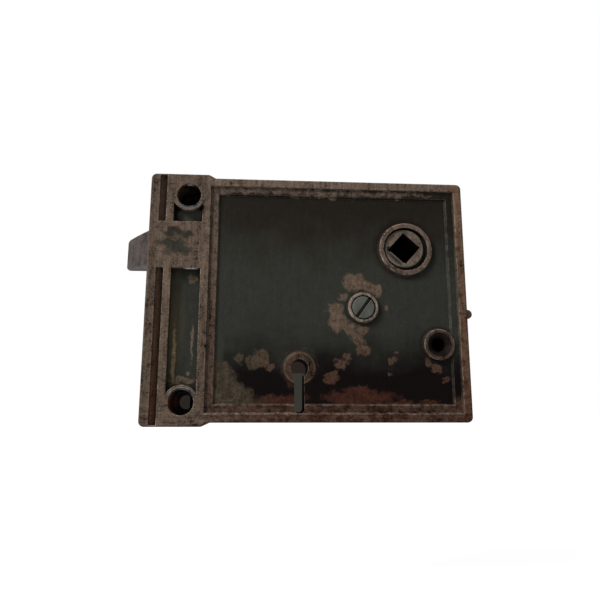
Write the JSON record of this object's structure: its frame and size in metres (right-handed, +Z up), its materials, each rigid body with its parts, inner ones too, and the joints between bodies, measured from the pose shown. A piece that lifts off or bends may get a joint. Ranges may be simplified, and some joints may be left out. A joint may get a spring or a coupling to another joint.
{
  "type": "rim knob lock",
  "caption": "Cast-iron rim box lock with a moulded face, spring latch worked by a spindle hub, and a key-thrown dead bolt held by a tumbler.",
  "frame": {"origin": "on the door face of the lock, in the middle of the case's length and height", "axes": "+Z up, +Y from the moulded face towards the door, -X towards the bolt end, as the lock hangs on a door"},
  "size_m": [0.1268, 0.016, 0.09],
  "materials": {
    "japanned_iron": "black-green japan, worn to brown iron on the rims, the strip and round the holes",
    "cap_iron": "japanned iron plate, dull",
    "latch_iron": "bare grey iron, worn smooth",
    "hub_iron": "bare brown-grey iron with bright edges",
    "screw_steel": "dull grey-green steel",
    "inner_iron": "oiled grey iron",
    "spring_steel": "blued spring steel",
    "pin_steel": "plain steel"
  },
  "bodies": {
    "case": {"case": "japanned_iron", "ward": "inner_iron", "cap": "cap_iron", "cap_screw": "screw_steel", "bolt_stud": "pin_steel", "tumbler_stud": "pin_steel", "spring_washer": "pin_steel"},
    "hub": {"hub": "hub_iron"},
    "latch": {"latch_bolt": "latch_iron", "latch_rod": "inner_iron", "latch_pin": "pin_steel", "latch_yoke": "inner_iron", "yoke_rivets": "pin_steel", "latch_spring": "spring_steel"},
    "dead_bolt": {"dead_bolt": "inner_iron"},
    "tumbler": {"tumbler": "inner_iron", "tumbler_stump": "pin_steel", "tumbler_spring": "spring_steel"}
  },
  "joints": [
    {"name": "hub_turn", "type": "hinge", "parent": "case", "child": "hub", "pos_m": [0.03515, -0.008, 0.0186], "axis": [0, 1, 0], "range_deg": [0, 53.5]},
    {"name": "latch_slide", "type": "slide", "parent": "case", "child": "latch", "axis": [1, 0, 0], "range_m": [0, 0.0098], "stiffness_N_per_m": 400, "springref_m": -0.01, "deforming": ["latch_spring"]},
    {"name": "bolt_throw", "type": "slide", "parent": "case", "child": "dead_bolt", "axis": [-1, 0, 0], "range_m": [0, 0.01]},
    {"name": "tumbler_lift", "type": "hinge", "parent": "case", "child": "tumbler", "pos_m": [-0.02715, -0.004, 0.001], "axis": [0, -1, 0], "range_deg": [0, 9], "stiffness_Nm_per_rad": 0.05, "springref_deg": -11.46, "deforming": ["tumbler_spring"]}
  ],
  "couplings": [
    {"joint": "hub_turn", "follows": "latch_slide", "rad_per_m": 95.212},
    {"joint": "tumbler_lift", "follows": "bolt_throw", "rad_per_m": 15.5}
  ]
}
